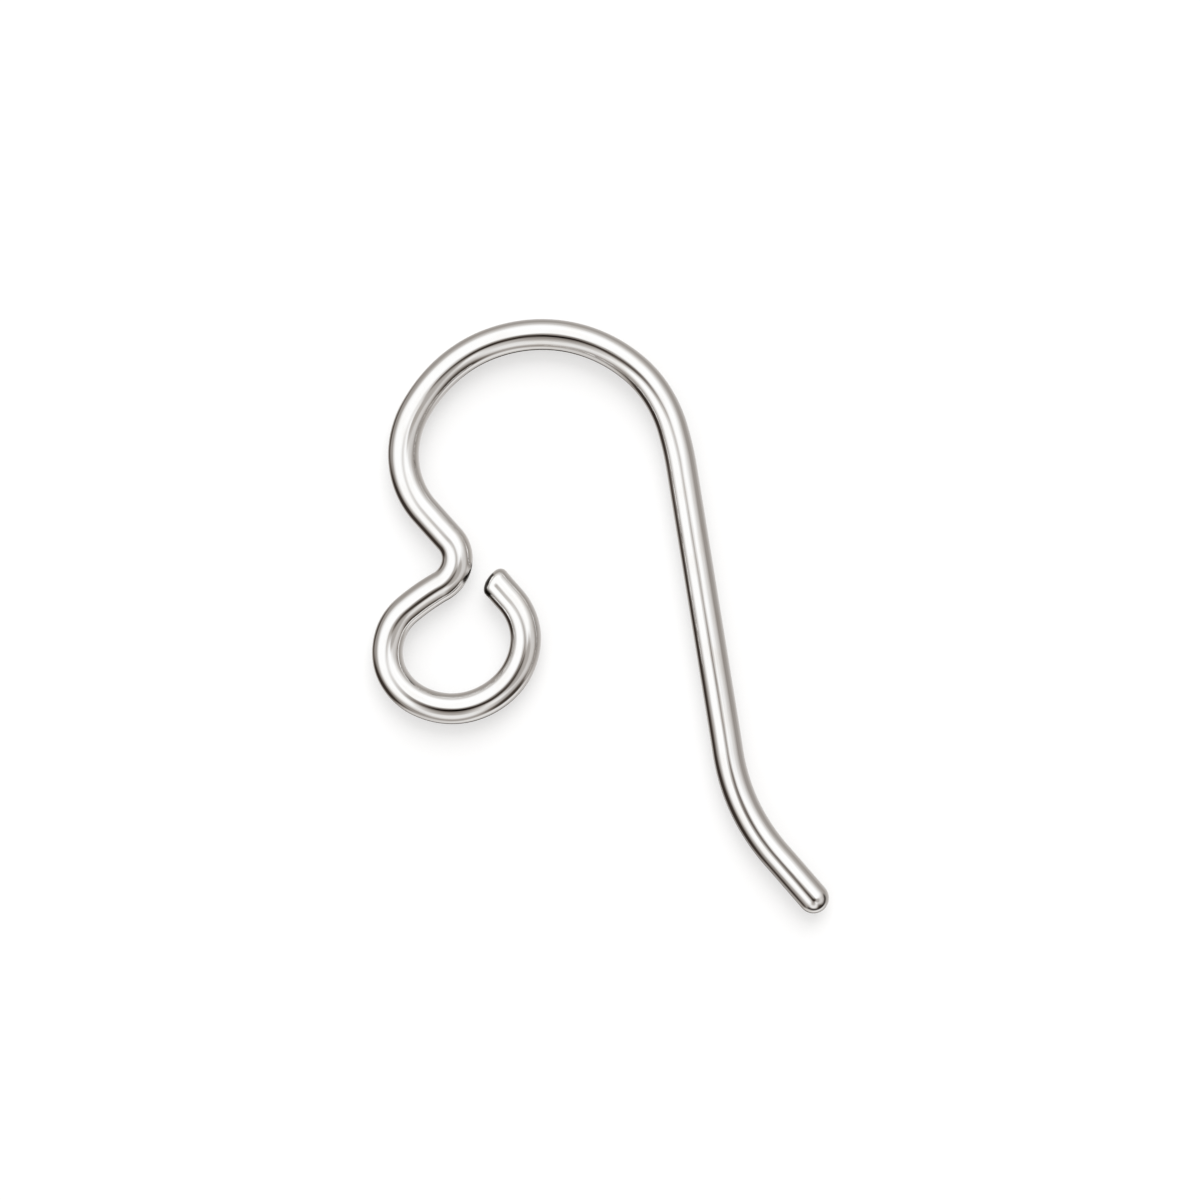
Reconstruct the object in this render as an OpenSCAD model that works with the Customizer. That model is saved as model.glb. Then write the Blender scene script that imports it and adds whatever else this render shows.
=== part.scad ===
// Ear wire, bent from one length of round wire and lying flat on the XY plane.
// From its tip the wire runs up a flared tail and a long leg, over the arch that
// sits in the ear lobe, down the front, back through a tight neck bend and round
// the open loop that carries a charm. Every bend is given by its inside radius,
// as it is formed round a peg, and by the angle through which it turns the wire.

/* [Wire] */
// Diameter of the round wire
wire_d = 0.8; // [0.5:0.05:1.1]
// Rounding of the cut edge at the open end of the loop
cut_edge_r = 0.22; // [0.05:0.01:0.24]

/* [Tail] */
// Straight length of the tail, up to the start of its domed tip
tail_len = 1.45; // [0.5:0.05:5]
// Inside radius of the bend that flares the tail outward
tail_bend_r = 5.1; // [1:0.1:12]
// Angle of the flare away from the leg
tail_angle = 31.6; // [5:0.1:60]

/* [Leg] */
// Straight length of the leg behind the ear lobe
leg_len = 7.45; // [3:0.05:20]
// Lean of the leg away from straight up
leg_lean_angle = 9.3; // [-20:0.1:30]
// Inside radius of the slow bend at the top of the leg
leg_ease_r = 9.6; // [3:0.1:20]
// Angle of the slow bend at the top of the leg
leg_ease_angle = 6; // [1:0.1:20]

/* [Arch] */
// Inside radius of the shoulder, between the leg and the top of the arch
shoulder_r = 2.7; // [1:0.05:6]
// Angle of the shoulder
shoulder_angle = 34.7; // [10:0.1:60]
// Inside radius of the top of the arch
arch_r = 3.39; // [2:0.01:8]
// Angle of the top of the arch
arch_angle = 101; // [60:0.1:130]
// Inside radius of the front of the arch
front_bend_r = 1.88; // [0.8:0.01:5]
// Angle of the front of the arch
front_angle = 70.8; // [40:0.1:90]
// Straight length between the front of the arch and the neck
front_len = 0.98; // [0.2:0.01:4]

/* [Neck] */
// Inside radius of the tight bend between the arch and the loop
neck_r = 0.36; // [0.2:0.01:1.5]
// Angle of the neck bend, against all the bends of the arch and the loop
neck_angle = 107.5; // [80:0.1:125]

/* [Loop] */
// Inside radius of the slow bend that leads from the neck into the loop
loop_ease_r = 3.1; // [1:0.1:8]
// Angle of the slow bend that leads into the loop
loop_ease_angle = 17.7; // [5:0.1:25]
// Inside radius of the loop on the side away from its opening
loop_back_r = 1.08; // [0.7:0.01:3]
// Angle of the loop on the side away from its opening
loop_back_angle = 112.3; // [95:0.1:118]
// Inside radius of the loop at its foot
loop_foot_r = 1.52; // [1.2:0.01:3]
// Angle of the loop at its foot
loop_foot_angle = 107.9; // [90:0.1:115]
// Inside radius of the loop on the side of its opening
loop_front_r = 1.1; // [0.7:0.01:1.8]
// Angle of the loop on the side of its opening
loop_front_angle = 49.2; // [35:0.1:60]
// Clear gap between the cut end of the loop and the neck
loop_gap = 0.42; // [0.15:0.01:0.7]

/* [Hidden] */

$fn = 64;
quarter = 90;
enlarged = 1000;
wire_r = wire_d / 2;
edge_r = min(cut_edge_r, wire_r * 0.9);

// A stretch of wire is [straight length, radius of its centreline, signed angle]
function straight(length) = [length, 0, 0];
function bend(inside_r, turn) = [0, inside_r + wire_r, turn];
function length_of(s) = s[0];
function radius_of(s) = s[1];
function turn_of(s) = s[2];

// The stretches up to the neck, the neck, and those up to the loop's straight end
hook = [
    straight(tail_len),
    bend(tail_bend_r, -tail_angle),
    straight(leg_len),
    bend(leg_ease_r, leg_ease_angle),
    bend(shoulder_r, shoulder_angle),
    bend(arch_r, arch_angle),
    bend(front_bend_r, front_angle),
    straight(front_len)
];
neck = bend(neck_r, -neck_angle);
loop = [
    bend(loop_ease_r, loop_ease_angle),
    bend(loop_back_r, loop_back_angle),
    bend(loop_foot_r, loop_foot_angle),
    bend(loop_front_r, loop_front_angle)
];
stretches = concat(hook, [neck], loop);

// A place on the wire is [x, y, heading]; the walk starts at the tip of the tail
start = [0, 0, quarter + leg_lean_angle + tail_angle];

function ahead(heading) = [cos(heading), sin(heading)];
function across(heading) = [-sin(heading), cos(heading)];
function spot(place) = [place.x, place.y];
function bend_centre(place, s) = spot(place) + sign(turn_of(s)) * radius_of(s) * across(place.z);

function next_place(place, s) =
    let (heading = place.z + turn_of(s))
    let (to = turn_of(s) == 0
        ? spot(place) + length_of(s) * ahead(heading)
        : bend_centre(place, s) - sign(turn_of(s)) * radius_of(s) * across(heading))
    [to.x, to.y, heading];

function walk(place, i = 0) =
    i == len(stretches) ? [place] : concat([place], walk(next_place(place, stretches[i]), i + 1));

places = walk(start);
loop_end = places[len(stretches)];

// The loop's straight end runs on until the rounded edge of its cut is loop_gap
// clear of the outside of the neck bend
to_neck = bend_centre(places[len(hook)], neck) - spot(loop_end);
neck_aside = abs(to_neck * across(loop_end.z)) - (wire_r - edge_r);
neck_reach = radius_of(neck) + wire_r + loop_gap + edge_r;
neck_short = sqrt(max(0, pow(neck_reach, 2) - pow(neck_aside, 2)));
loop_end_len = edge_r + max(edge_r, to_neck * ahead(loop_end.z) - neck_short);

// The centreline's outermost points: the ends of every stretch, and where a bend
// crosses a quarter turn about its own centre
function bend_start(place, s) = place.z - sign(turn_of(s)) * quarter + min(turn_of(s), 0);
function bend_extremes(place, s) =
    let (from = bend_start(place, s), to = from + abs(turn_of(s)))
    [for (a = [ceil(from / quarter) * quarter : quarter : to])
        bend_centre(place, s) + radius_of(s) * ahead(a)];
outermost = concat(
    [for (p = places) spot(p)],
    [spot(loop_end) + (loop_end_len - wire_r) * ahead(loop_end.z)],
    [for (i = [0 : len(stretches) - 1]) if (turn_of(stretches[i]) != 0)
        each bend_extremes(places[i], stretches[i])]
);
xs = [for (p = outermost) p.x];
ys = [for (p = outermost) p.y];
middle = [(min(xs) + max(xs)) / 2, (min(ys) + max(ys)) / 2];

// Sets a piece down at [x, y, heading]. Each is drawn small and the joined wire
// is enlarged as one, so that faces that meet are level with each other.
module set_down(place) {
    scale(1 / enlarged)
        translate([place.x - middle.x, place.y - middle.y, wire_r])
            rotate(place.z)
                children();
}

// Turns a piece that stands on its end so that it lies along the heading
module lay_down() {
    rotate([0, quarter, 0])
        children();
}

// One straight or bent stretch of wire, from its place
module stretch(place, s) {
    if (turn_of(s) == 0)
        set_down(place)
            lay_down()
                cylinder(h = length_of(s), r = wire_r);
    else
        set_down(concat(bend_centre(place, s), bend_start(place, s)))
            rotate_extrude(angle = abs(turn_of(s)))
                translate([radius_of(s), 0])
                    circle(r = wire_r);
}

// A quarter of a disc, which turns into a domed tip or a rounded edge
module rounding(r) {
    intersection() {
        circle(r = r);
        square(r);
    }
}

// The domed tip, half a ball on the end of the tail
module tip() {
    set_down(start + [0, 0, 2 * quarter])
        lay_down()
            rotate_extrude()
                rounding(wire_r);
}

// The loop's straight end, with the edge of its cut rounded over
module cut_end() {
    set_down(loop_end)
        lay_down()
            rotate_extrude() {
                square([wire_r, loop_end_len - edge_r]);
                square([wire_r - edge_r, loop_end_len]);
                translate([wire_r - edge_r, loop_end_len - edge_r])
                    rounding(edge_r);
            }
}

module ear_wire() {
    color("silver")
        scale(enlarged) {
            tip();
            for (i = [0 : len(stretches) - 1])
                stretch(places[i], stretches[i]);
            cut_end();
        }
}

ear_wire();
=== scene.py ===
from math import copysign, cos, exp, pi, radians, sin, tau
import bpy
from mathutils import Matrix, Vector


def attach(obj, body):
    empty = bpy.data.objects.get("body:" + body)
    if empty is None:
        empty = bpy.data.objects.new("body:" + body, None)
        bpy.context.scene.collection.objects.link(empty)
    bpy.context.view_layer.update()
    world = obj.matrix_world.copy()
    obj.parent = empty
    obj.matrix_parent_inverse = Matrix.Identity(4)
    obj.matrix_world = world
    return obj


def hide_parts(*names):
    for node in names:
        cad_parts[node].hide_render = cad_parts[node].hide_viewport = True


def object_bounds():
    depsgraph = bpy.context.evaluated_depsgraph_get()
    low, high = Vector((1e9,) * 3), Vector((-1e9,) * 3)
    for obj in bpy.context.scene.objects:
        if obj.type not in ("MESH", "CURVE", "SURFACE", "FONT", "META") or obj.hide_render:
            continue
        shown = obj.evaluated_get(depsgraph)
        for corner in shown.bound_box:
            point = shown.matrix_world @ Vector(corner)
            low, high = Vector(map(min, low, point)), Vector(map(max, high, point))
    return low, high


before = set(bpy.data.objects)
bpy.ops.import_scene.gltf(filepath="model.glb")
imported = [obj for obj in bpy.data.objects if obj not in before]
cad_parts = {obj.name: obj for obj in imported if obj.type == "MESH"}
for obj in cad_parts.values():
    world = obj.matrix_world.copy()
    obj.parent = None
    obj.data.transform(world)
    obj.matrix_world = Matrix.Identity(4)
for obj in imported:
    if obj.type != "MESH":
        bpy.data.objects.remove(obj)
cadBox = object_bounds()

mm = 0.001
quarterTurn = 90  # degrees
print("frame loaded, box in mm:", [round((b - a) / mm, 2) for a, b in zip(*cadBox)])


def addToScene(name, data):
    thing = bpy.data.objects.new(name, data)
    bpy.context.scene.collection.objects.link(thing)
    return thing


# The camera looks straight down, with the top of the picture towards +Y
photoView = {
    "lens": 100,  # mm
    "sensor": 36,  # mm
    "acrossPicture": 31.18,  # mm that the picture takes in, at the wire's middle
    "aimY": 0.427,  # mm, how far above the part's middle it is aimed
    "nearest": 0.001,  # m, and nothing nearer than this or past the farthest is drawn
    "farthest": 20,
}


def makeCamera():
    camData = bpy.data.cameras.new("photoCamera")
    camData.lens = photoView["lens"]
    camData.sensor_width = photoView["sensor"]
    camData.clip_start = photoView["nearest"]
    camData.clip_end = photoView["farthest"]
    cam = addToScene("photoCamera", camData)
    away = photoView["acrossPicture"] * photoView["lens"] / photoView["sensor"]
    wireMiddle = (cadBox[0].z + cadBox[1].z) / 2
    cam.location = (0, photoView["aimY"] * mm, wireMiddle + away * mm)
    bpy.context.scene.camera = cam
    print("camera", round(away, 1), "mm above the wire")


# Small helpers for the node trees
def newTree(owner):
    owner.use_nodes = True
    owner.node_tree.nodes.clear()
    return owner.node_tree


def addNode(tree, kind, **settings):
    node = tree.nodes.new(kind)
    for name, value in settings.items():
        setattr(node, name, value)
    return node


# Gives a socket another node's output, or a plain value
def feed(tree, socket, value):
    if isinstance(value, bpy.types.NodeSocket):
        tree.links.new(value, socket)
    else:
        socket.default_value = value


def mathNode(tree, operation, *values):
    node = addNode(tree, "ShaderNodeMath", operation=operation)
    for socket, value in zip(node.inputs, values):
        feed(tree, socket, value)
    return node.outputs["Value"]


def mapRange(tree, value, start, end, toStart=0, toEnd=1, easing="SMOOTHSTEP"):
    node = addNode(tree, "ShaderNodeMapRange", interpolation_type=easing)
    feed(tree, node.inputs["Value"], value)
    feed(tree, node.inputs["From Min"], start)
    feed(tree, node.inputs["From Max"], end)
    feed(tree, node.inputs["To Min"], toStart)
    feed(tree, node.inputs["To Max"], toEnd)
    return node.outputs["Result"]


# Kind is FLOAT for plain numbers and RGBA for colours
def mixNode(tree, kind, share, first, second, label=""):
    node = addNode(tree, "ShaderNodeMix", data_type=kind, label=label)
    feed(tree, node.inputs["Factor"], share)
    feed(tree, node.inputs["A"], first)
    feed(tree, node.inputs["B"], second)
    return node.outputs["Result"]


def grey(level):
    return (level, level, level, 1)


# The light tent round the wire: soft patches, each over those before it. Turn goes from +X
# towards +Y and tilt comes down from straight up, both in degrees; size and soft are degrees too.
lightTent = {
    "backdrop": 0.95,  # what the camera sees beyond the floor
    "wall": 0.245,  # the tent where no patch is
    "ground": 0.32,  # what lies below the wire
    "horizon": (-0.05, 0.15),  # from all ground to all wall, as the sine of the angle above level
    "warmth": (0.07, 0.06),  # how much the greys gain in red and lose in blue as they darken
    "darkest": 0.002,  # a grey darker than this turns no warmer
    "patches": [
        {"name": "overhead", "turn": 93, "tilt": 24, "size": 51, "soft": 77, "glow": 1.32},
        {"name": "leftSide", "turn": 177, "tilt": 18, "size": 58, "soft": 39, "glow": 1.06},
        {"name": "frontCard", "turn": 268, "tilt": 60, "size": 24, "soft": 23, "glow": 0.84},
        {"name": "rightCard", "turn": 342, "tilt": 53, "size": 22, "soft": 25, "glow": 0.64},
        {"name": "darkCorner", "turn": 309, "tilt": 88, "size": 16, "soft": 16, "glow": 0.04},
        {"name": "darkLeftEdge", "turn": 211, "tilt": 118, "size": 28, "soft": 20, "glow": 0.03},
        {"name": "darkBehindLeft", "turn": 163, "tilt": 130, "size": 18, "soft": 14, "glow": 0.06},
        {"name": "paleFrontEdge", "turn": 253, "tilt": 125, "size": 21, "soft": 17, "glow": 0.62},
        {"name": "paleRightEdge", "turn": 298, "tilt": 130, "size": 30, "soft": 19, "glow": 0.81},
        {"name": "paleBelow", "turn": 13, "tilt": 168, "size": 52, "soft": 28, "glow": 0.46},
        {"name": "underWire", "turn": 10, "tilt": 166, "size": 28, "soft": 17, "glow": 0.6},
        {"name": "wireShadow", "turn": 267, "tilt": 162, "size": 16, "soft": 6, "glow": 0.02},
        {"name": "bar", "turn": 305, "tilt": 15, "size": 8, "soft": 9, "glow": 0.17},
        {"name": "greyFlag", "turn": 331, "tilt": 31, "size": 15, "soft": 10, "glow": 0.42},
        {"name": "arm", "turn": 264, "tilt": 38, "size": 14, "soft": 20, "glow": 0.41},
        {"name": "lens", "turn": 220, "tilt": 5, "size": 3, "soft": 10, "glow": 0.5},
        {"name": "camera", "turn": 260, "tilt": 15, "size": 14, "soft": 24, "glow": 0},
    ],
}


def aimed(turn, tilt):
    turn, tilt = radians(turn), radians(tilt)
    return Vector((sin(tilt) * cos(turn), sin(tilt) * sin(turn), cos(tilt)))


# How bright the tent is in each direction
def tentBrightness(tree):
    link = tree.links.new
    coords = addNode(tree, "ShaderNodeTexCoord")
    way = addNode(tree, "ShaderNodeVectorMath", operation="NORMALIZE")
    link(coords.outputs["Generated"], way.inputs[0])
    apart = addNode(tree, "ShaderNodeSeparateXYZ")
    link(way.outputs["Vector"], apart.inputs["Vector"])
    upward = mapRange(tree, apart.outputs["Z"], *lightTent["horizon"])
    bright = mixNode(tree, "FLOAT", upward, lightTent["ground"], lightTent["wall"], "walls")
    for patch in lightTent["patches"]:
        outer = radians(patch["size"] + patch["soft"] / 2)
        inner = radians(patch["size"] - patch["soft"] / 2)
        dot = addNode(tree, "ShaderNodeVectorMath", operation="DOT_PRODUCT")
        link(way.outputs["Vector"], dot.inputs[0])
        dot.inputs[1].default_value = aimed(patch["turn"], patch["tilt"])
        cosine = mathNode(tree, "MINIMUM", dot.outputs["Value"], 1)
        covered = mapRange(tree, mathNode(tree, "ARCCOSINE", cosine), outer, inner)
        bright = mixNode(tree, "FLOAT", covered, bright, patch["glow"], patch["name"])
    return bright


# Turns that brightness into a grey that is warmer the darker it is
def warmGrey(tree, bright):
    moreRed, lessBlue = lightTent["warmth"]
    dark = mathNode(tree, "MAXIMUM", mathNode(tree, "MINIMUM", bright, 1), lightTent["darkest"])
    tone = addNode(tree, "ShaderNodeCombineColor")
    red = mathNode(tree, "MULTIPLY", bright, mathNode(tree, "POWER", dark, -moreRed))
    blue = mathNode(tree, "MULTIPLY", bright, mathNode(tree, "POWER", dark, lessBlue))
    feed(tree, tone.inputs["Red"], red)
    feed(tree, tone.inputs["Green"], bright)
    feed(tree, tone.inputs["Blue"], blue)
    return tone.outputs["Color"]


def makeWorld():
    world = bpy.data.worlds.new("lightTent")
    bpy.context.scene.world = world
    tree = newTree(world)
    tent = addNode(tree, "ShaderNodeBackground")
    feed(tree, tent.inputs["Color"], warmGrey(tree, tentBrightness(tree)))
    beyond = addNode(tree, "ShaderNodeBackground")
    beyond.inputs["Color"].default_value = grey(lightTent["backdrop"])
    rayKind = addNode(tree, "ShaderNodeLightPath")
    either = addNode(tree, "ShaderNodeMixShader")
    share, onTheWire, inTheView = either.inputs
    feed(tree, share, rayKind.outputs["Is Camera Ray"])
    feed(tree, onTheWire, tent.outputs["Background"])
    feed(tree, inTheView, beyond.outputs["Background"])
    output = addNode(tree, "ShaderNodeOutputWorld")
    feed(tree, output.inputs["Surface"], either.outputs["Shader"])
    print("light tent with", len(lightTent["patches"]), "patches")


# A large soft lamp beyond the top of the picture, which draws the shadows. Lengths are in m.
softbox = {"turn": 83, "tilt": 50, "away": 0.6, "wide": 0.55, "glow": 3.0}


def makeSoftbox():
    lamp = bpy.data.lights.new("softbox", "AREA")
    lamp.shape = "SQUARE"
    lamp.size = softbox["wide"]
    lamp.energy = softbox["glow"] * pi * softbox["wide"] ** 2  # watts over its whole square
    box = addToScene("softbox", lamp)
    way = aimed(softbox["turn"], softbox["tilt"])
    box.location = way * softbox["away"]
    box.rotation_mode = "QUATERNION"
    box.rotation_quaternion = way.to_track_quat("Z", "Y")
    box.visible_camera = False
    box.visible_glossy = False  # the tent's patches are what the metal reflects
    print("softbox placed")


# The wire lies on a pale light table, lit a little from below, so its shadows stay light
lightTable = {"across": 4.0, "white": 0.48, "roughness": 0.9, "glow": 0.49}  # across is in m


def makeAcrylic():
    material = bpy.data.materials.new("paleAcrylic")
    tree = newTree(material)
    acrylic = addNode(tree, "ShaderNodeBsdfPrincipled")
    acrylic.inputs["Base Color"].default_value = grey(lightTable["white"])
    acrylic.inputs["Roughness"].default_value = lightTable["roughness"]
    acrylic.inputs["Specular IOR Level"].default_value = 0
    acrylic.inputs["Emission Color"].default_value = grey(1)
    acrylic.inputs["Emission Strength"].default_value = lightTable["glow"]
    output = addNode(tree, "ShaderNodeOutputMaterial")
    feed(tree, output.inputs["Surface"], acrylic.outputs["BSDF"])
    return material


def makeFloor():
    half = lightTable["across"] / 2
    level = cadBox[0].z
    corners = [(-half, -half), (half, -half), (half, half), (-half, half)]
    mesh = bpy.data.meshes.new("lightTable")
    mesh.from_pydata([(x, y, level) for x, y in corners], [], [(0, 1, 2, 3)])
    mesh.materials.append(makeAcrylic())
    floor = addToScene("lightTable", mesh)
    floor.visible_glossy = False  # the metal reflects the tent's ground instead
    print("light table laid")


# The wire in mm and degrees, with the same bends as part.scad: each radius is the inside one.
# Along counts from the foot of the domed tip, and left is left of the way from there to the loop.
earWire = {
    "wire": 0.8,  # diameter
    "tail": 1.45,
    "tailBend": (5.1, -31.6),  # inside radius, turn to the left
    "leg": 7.45,
    "legLean": 9.3,
    "legEase": (9.6, 6),
    "shoulder": (2.7, 34.7),
    "arch": (3.39, 101),
    "frontBend": (1.88, 70.8),
    "front": 0.98,
    "neck": (0.36, -107.5),
    "loopEase": (3.1, 17.7),
    "loopBack": (1.08, 112.3),
    "loopFoot": (1.52, 107.9),
    "loopFront": (1.1, 49.2),
    "loopGap": 0.42,  # between the loop's cut end and the neck
    "cutEdge": 0.22,  # rounding of that end, and then how it bulges, leans and is cut aslant
    "cutBulge": 0.04,
    "cutLean": 0.06,
    "cutSlant": 0.15,
    "cutRound": 0.8,  # 1 rounds it as a ball, and less makes it fuller
    "sides": 64,
    "ringStep": 0.05,  # from ring to ring
    "tightFiner": 2,  # so many times closer in a bend tighter than the wire's own radius
    "endRings": 12,  # from the wire to the nose of each end
    # The burr that the pliers raised on the outside of the neck
    "burr": {"along": 26.1, "round": 25, "long": 0.13, "wide": 0.085, "high": 0.04},
    # Bent by hand, the wire strays from those bends: along, how far to either side of that it
    # eases off, and how far it goes to the left
    "strays": {
        "tailBend": (3, 2.2, 0.015),
        "legEase": (13.5, 1.4, 0.015),
        "shoulder": (16.6, 2.6, -0.015),
        "archTop": (21.6, 2.7, 0.045),
        "loopStart": (27.4, 1.2, 0.065),
        "loopShoulder": (28.5, 1.3, 0.04),
        "loopBack": (30.6, 1.8, 0.02),
        "loopFront": (34, 1.8, -0.035),
    },
    # Its reflections look as if it didn't lie quite level either: the same two lengths, and
    # degrees that it dips ahead
    "dips": {
        "tailTip": (1.2, 1.7, 2.3),
        "tailBend": (4.9, 1.5, 0.8),
        "legTop": (14.8, 1.8, -2),
        "shoulder": (19.1, 1.1, 1.3),
        "archTop": (21.6, 1.3, -2),
        "front": (24.4, 2, -1.5),
        "neck": (26.7, 1.3, 0.7),
        "loopBack": (29.8, 1.6, -2.4),
        "loopFoot": (33.6, 1.1, -2),
        "loopEnd": (35.6, 1.2, 2.1),
    },
}


def forward(heading):
    return Vector((cos(radians(heading)), sin(radians(heading))))


def leftOf(heading):
    return forward(heading + quarterTurn)


# What the strays or the dips come to at a place along the wire
def easedAt(humps, along):
    total = 0
    for middle, reach, most in humps.values():
        if abs(along - middle) < reach:
            total += most * (1 + cos(pi * (along - middle) / reach)) / 2
    return total


def burrAt(along, around):
    burr = earWire["burr"]
    lengthwise = (along - burr["along"]) / burr["long"]
    sideways = (around - radians(burr["round"])) * earWire["wire"] / 2 / burr["wide"]
    return burr["high"] * exp(-lengthwise**2 - sideways**2)


# A ring is its middle, its heading and how far along the wire it is. Each of the next functions
# starts from one: where a bend's pivot is, and the rings up to the end of a straight or a bend.
def pivotOf(first, bend):
    place, heading = first[:2]
    inside, turn = bend
    return place + copysign(inside + earWire["wire"] / 2, turn) * leftOf(heading)


def straightRings(first, length):
    place, heading, along = first
    steps = max(1, round(length / earWire["ringStep"]))
    runs = [length * i / steps for i in range(1, steps + 1)]
    return [(place + run * forward(heading), heading, along + run) for run in runs]


def bentRings(first, bend):
    heading, along = first[1:]
    inside, turn = bend
    radius = earWire["wire"] / 2
    length = (inside + radius) * radians(abs(turn))
    outside = (inside + 2 * radius) * radians(abs(turn))
    finer = earWire["tightFiner"] if inside < radius else 1
    steps = max(1, round(outside * finer / earWire["ringStep"]))
    pivot = pivotOf(first, bend)
    rings = []
    for i in range(1, steps + 1):
        now = heading + turn * i / steps
        middle = pivot - copysign(inside + radius, turn) * leftOf(now)
        rings.append((middle, now, along + length * i / steps))
    return rings


# The wire's rings from the foot of the domed tip to the rounding of the cut
def walkWire():
    radius = earWire["wire"] / 2
    order = ["tail", "tailBend", "leg", "legEase", "shoulder", "arch", "frontBend", "front"]
    order += ["neck", "loopEase", "loopBack", "loopFoot", "loopFront"]
    rings = [(Vector((0, 0)), quarterTurn + earWire["legLean"] - earWire["tailBend"][1], 0)]
    for name in order:
        if name == "neck":
            neckPivot = pivotOf(rings[-1], earWire["neck"])
        follow = bentRings if isinstance(earWire[name], tuple) else straightRings
        rings += follow(rings[-1], earWire[name])

    # The last straight runs on until its rounded edge is loopGap from the outside of the neck
    place, heading, along = rings[-1]
    edge = earWire["cutEdge"]
    toNeck = neckPivot - place
    aside = abs(toNeck.dot(leftOf(heading))) - (radius - edge)
    reach = earWire["neck"][0] + 2 * radius + earWire["loopGap"] + edge
    rings += straightRings(rings[-1], toNeck.dot(forward(heading)) - (reach**2 - aside**2) ** 0.5)

    # The CAD model's box says where the wire lies
    lowest = [min(ring[0][i] for ring in rings) for i in (0, 1)]
    shift = Vector([cadBox[0][i] / mm + radius - lowest[i] for i in (0, 1)])
    print("wire", round(rings[-1][2] + edge, 2), "mm long from the dome's foot to the cut")
    return [(middle + shift, heading, along) for middle, heading, along in rings]


# The same rings with their radius and slant, and those that close the dome and the cut. The
# first and the last are the noses of the two ends, and have no radius.
def shapeRings():
    radius = earWire["wire"] / 2
    rings = walkWire()
    tip, tipHeading, tipAlong = rings[0]
    cut, cutHeading, cutAlong = rings[-1]
    ends = earWire["endRings"]
    shaped = []
    for i in range(ends):
        bow = pi / 2 * i / ends
        back = radius * cos(bow)
        middle = tip - back * forward(tipHeading)
        shaped.append((middle, tipHeading, tipAlong - back, radius * sin(bow), 0))
    shaped += [(*ring, radius, 0) for ring in rings]
    for i in range(1, ends + 1):
        bow = pi / 2 * i / ends
        on = (earWire["cutEdge"] + earWire["cutBulge"]) * sin(bow)
        aside = earWire["cutLean"] * sin(bow)
        middle = cut + on * forward(cutHeading) - aside * leftOf(cutHeading)
        thick = radius * max(0, cos(bow)) ** earWire["cutRound"]
        shaped.append((middle, cutHeading, cutAlong + on, thick, earWire["cutSlant"] * on / radius))
    return shaped


# Each point of a ring, with its place along, left and up on the straightened wire, and the way on
def ringPoints(ring, sides):
    middle, heading, along, thick, slant = ring
    radius = earWire["wire"] / 2
    side, ahead = leftOf(heading), forward(heading)
    middle = middle + easedAt(earWire["strays"], along) * side
    points = []
    for k in range(sides):
        around = tau * k / sides
        left, up = thick * cos(around), thick * sin(around)
        swell = 1 + burrAt(along, around) / radius
        spot = middle + left * swell * side - slant * left * ahead
        place = (spot.x * mm, spot.y * mm, (radius + up * swell) * mm + cadBox[0].z)
        points.append((place, (along, left, up), ahead))
    return points


# Faces from ring to ring, and fans from the two noses, which are the last two points
def tubeFaces(rows, sides):
    faces = []
    for row in range(rows - 1):
        for k in range(sides):
            here, there = row * sides + k, row * sides + (k + 1) % sides
            faces.append((here, there, there + sides, here + sides))
    lastRing = (rows - 1) * sides
    tipNose = rows * sides
    cutNose = tipNose + 1
    for k in range(sides):
        beside = (k + 1) % sides
        faces.append((tipNose, beside, k))
        faces.append((lastRing + k, lastRing + beside, cutNose))
    return faces


def makeWire():
    sides = earWire["sides"]
    tipNose, *rings, cutNose = shapeRings()
    points = [point for ring in rings for point in ringPoints(ring, sides)]
    points += ringPoints(tipNose, 1) + ringPoints(cutNose, 1)
    places, straightened, ways = zip(*points)
    mesh = bpy.data.meshes.new("earWire")
    mesh.from_pydata(places, [], tubeFaces(len(rings), sides))
    mesh.validate()
    drawn = mesh.attributes.new("drawnWire", "FLOAT_VECTOR", "POINT")
    drawn.data.foreach_set("vector", [number for spot in straightened for number in spot])
    mesh.shade_smooth()

    # Only the shading dips and rises: the wire itself stays level, inside the CAD model's box
    leaning = []
    for normal, spot, ahead in zip(mesh.vertex_normals, straightened, ways):
        dip = radians(easedAt(earWire["dips"], spot[0]))
        leaning.append((normal.vector + dip * ahead.to_3d()).normalized())
    mesh.normals_split_custom_set_from_vertices(leaning)
    print("wire mesh of", len(rings), "rings,", len(mesh.polygons), "faces")
    return addToScene("earWire", mesh)


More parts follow.
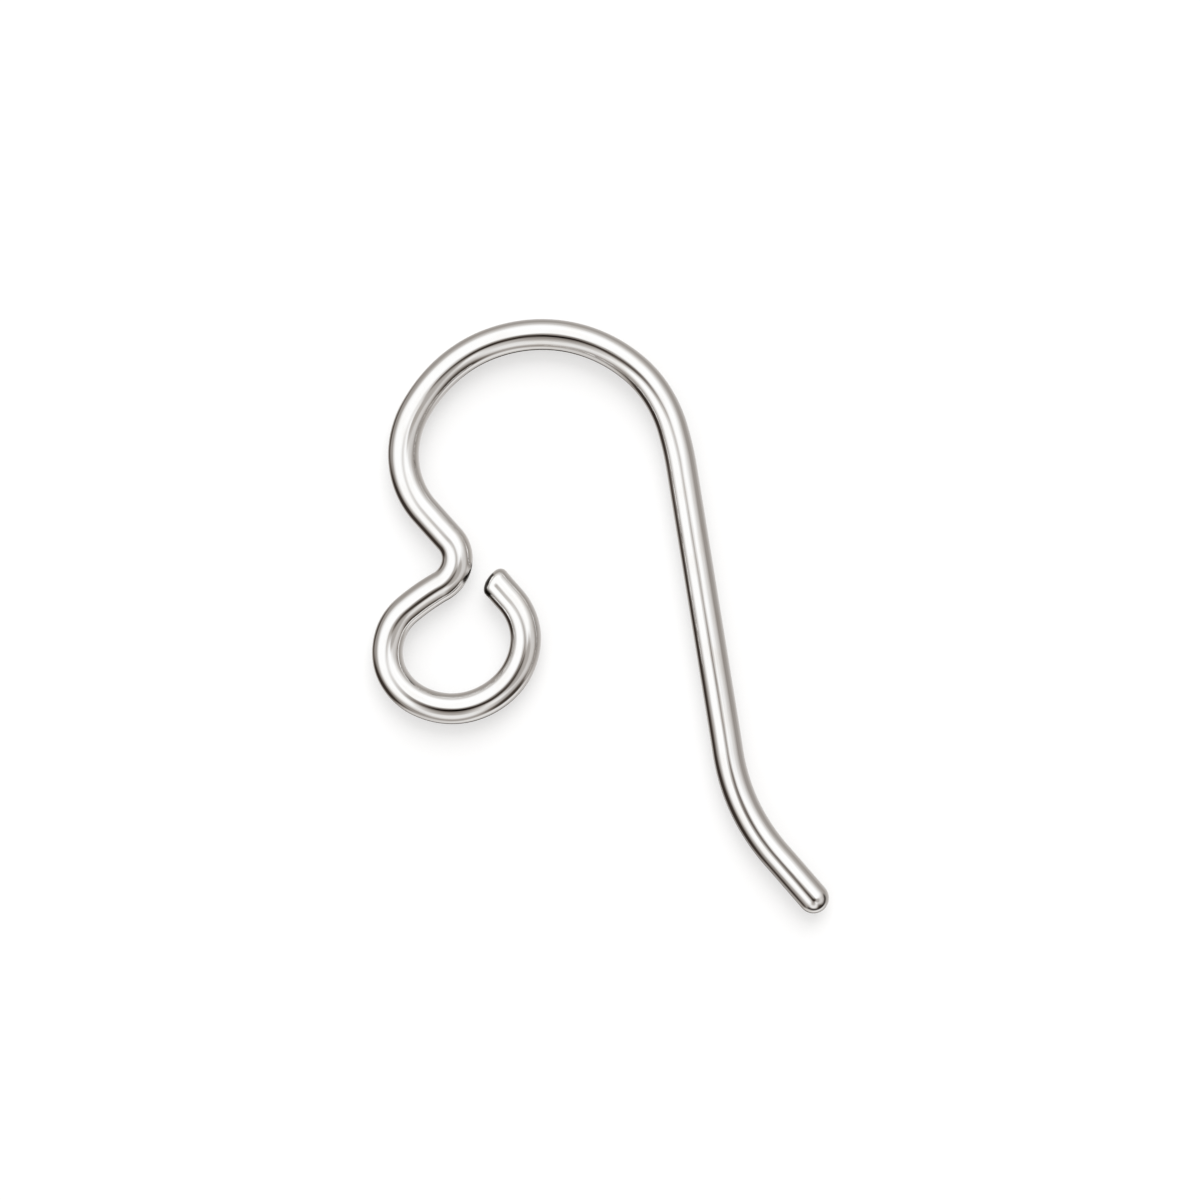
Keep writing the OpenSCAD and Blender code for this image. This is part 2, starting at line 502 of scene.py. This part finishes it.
# The silver: bright, a little warmer where it is rubbed, with the drawing lines of the wire and a
# few painted dark reflections. Its noises lie on the straightened wire, in mm, and are drawn out
# along it where along is under 1.
# A noise's bump is how strongly it shows, and its height is in mm.
polishedSilver = {
    "colour": (0.935, 0.932, 0.928, 1),
    "rubbedColour": (0.9, 0.885, 0.865, 1),
    "rubbedFrom": (0.45, 0.75),  # the noise at which that colour begins, and is full
    "roughness": (0.02, 0.05),  # from its best to its dullest places
    "dullFrom": (0.3, 0.7),  # the mean of lines and rubbed at which it is best, and dullest
    "lines": {"along": 0.04, "scale": 16, "detail": 3, "bump": 0.22, "height": 0.01},
    "ripples": {"along": 0.5, "scale": 1.6, "detail": 2, "bump": 0.04, "height": 0.05},
    "rubbed": {"along": 0.4, "scale": 3, "detail": 4},
    # Colour of the painted dark reflections, and how much rougher the silver is under them
    "paintedReflectionColour": (0.05, 0.042, 0.035, 1),
    "paintedReflectionRoughness": 0.16,  # on top of the other roughness
    # Painted dark reflections on the dome, the cut end and the neck, where they mirror dark
    # surroundings and each other: from and to, in mm along the wire, left and up
    "paintedReflections": {
        "tipReflection": {"along": (-0.5, -0.06), "left": (-0.27, 0.45), "up": (0.26, 0.305)},
        "cutFace": {"along": (36.26, 36.8), "left": (-0.06, 0.5), "up": (-0.05, 0.3)},
        "cutSide": {"along": (36.05, 36.3), "left": (0.26, 0.5), "up": (0, 0.3)},
        "neckSide": {"along": (25.98, 26.24), "left": (0.2, 0.5), "up": (0, 0.18)},
        "neckEnd": {"along": (26.18, 26.34), "left": (0.2, 0.5), "up": (0.1, 0.24)},
    },
    "markEdges": {"along": 0.08, "left": 0.06, "up": 0.05},  # mm over which a painted reflection fades out
}


def addNoise(tree, drawn, noise):
    stretched = addNode(tree, "ShaderNodeMapping")
    stretched.inputs["Scale"].default_value = (noise["along"], 1, 1)
    feed(tree, stretched.inputs["Vector"], drawn)
    cloudy = addNode(tree, "ShaderNodeTexNoise")
    cloudy.inputs["Scale"].default_value = noise["scale"]
    cloudy.inputs["Detail"].default_value = noise["detail"]
    feed(tree, cloudy.inputs["Vector"], stretched.outputs["Vector"])
    return cloudy.outputs["Fac"]


def addBump(tree, height, noise):
    bump = addNode(tree, "ShaderNodeBump")
    bump.inputs["Strength"].default_value = noise["bump"]
    bump.inputs["Distance"].default_value = noise["height"] * mm
    feed(tree, bump.inputs["Height"], height)
    return bump


# 1 inside the painted dark reflections and 0 elsewhere, with soft edges
def addPaintedReflections(tree, drawn):
    apart = addNode(tree, "ShaderNodeSeparateXYZ")
    feed(tree, apart.inputs["Vector"], drawn)
    paintedDark = 0
    for mark in polishedSilver["paintedReflections"].values():
        inside = 1
        for way, spot in zip(("along", "left", "up"), apart.outputs):
            low, high = mark[way]
            soft = polishedSilver["markEdges"][way] / 2
            above = mapRange(tree, spot, low - soft, low + soft)
            below = mapRange(tree, spot, high + soft, high - soft)
            inside = mathNode(tree, "MULTIPLY", inside, mathNode(tree, "MULTIPLY", above, below))
        paintedDark = mathNode(tree, "MAXIMUM", paintedDark, inside)
    return paintedDark


def makeSilver():
    silver = polishedSilver
    material = bpy.data.materials.new("polishedSilver")
    tree = newTree(material)
    drawn = addNode(tree, "ShaderNodeAttribute", attribute_name="drawnWire").outputs["Vector"]
    lines = addNoise(tree, drawn, silver["lines"])
    ripples = addNoise(tree, drawn, silver["ripples"])
    rubbed = addNoise(tree, drawn, silver["rubbed"])
    paintedDark = addPaintedReflections(tree, drawn)

    shader = addNode(tree, "ShaderNodeBsdfPrincipled")
    shader.inputs["Metallic"].default_value = 1
    worn = mapRange(tree, rubbed, *silver["rubbedFrom"])
    clean = mixNode(tree, "RGBA", worn, silver["colour"], silver["rubbedColour"])
    # The painted dark reflections darken the colour here
    colour = mixNode(tree, "RGBA", paintedDark, clean, silver["paintedReflectionColour"])
    feed(tree, shader.inputs["Base Color"], colour)

    mean = mathNode(tree, "MULTIPLY", mathNode(tree, "ADD", lines, rubbed), 0.5)
    polish = mapRange(tree, mean, *silver["dullFrom"], *silver["roughness"], easing="LINEAR")
    paintedDarkRough = mathNode(tree, "MULTIPLY", paintedDark, silver["paintedReflectionRoughness"])
    feed(tree, shader.inputs["Roughness"], mathNode(tree, "ADD", polish, paintedDarkRough))

    fine = addBump(tree, lines, silver["lines"])
    broad = addBump(tree, ripples, silver["ripples"])
    feed(tree, broad.inputs["Normal"], fine.outputs["Normal"])
    feed(tree, shader.inputs["Normal"], broad.outputs["Normal"])
    output = addNode(tree, "ShaderNodeOutputMaterial")
    feed(tree, output.inputs["Surface"], shader.outputs["BSDF"])
    print("silver mixed")
    return material


makeCamera()
makeWorld()
makeSoftbox()
makeFloor()
wire = makeWire()
wire.data.materials.append(makeSilver())
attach(wire, "root")
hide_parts("ear_wire")

bpy.context.scene.view_settings.view_transform = "Standard"
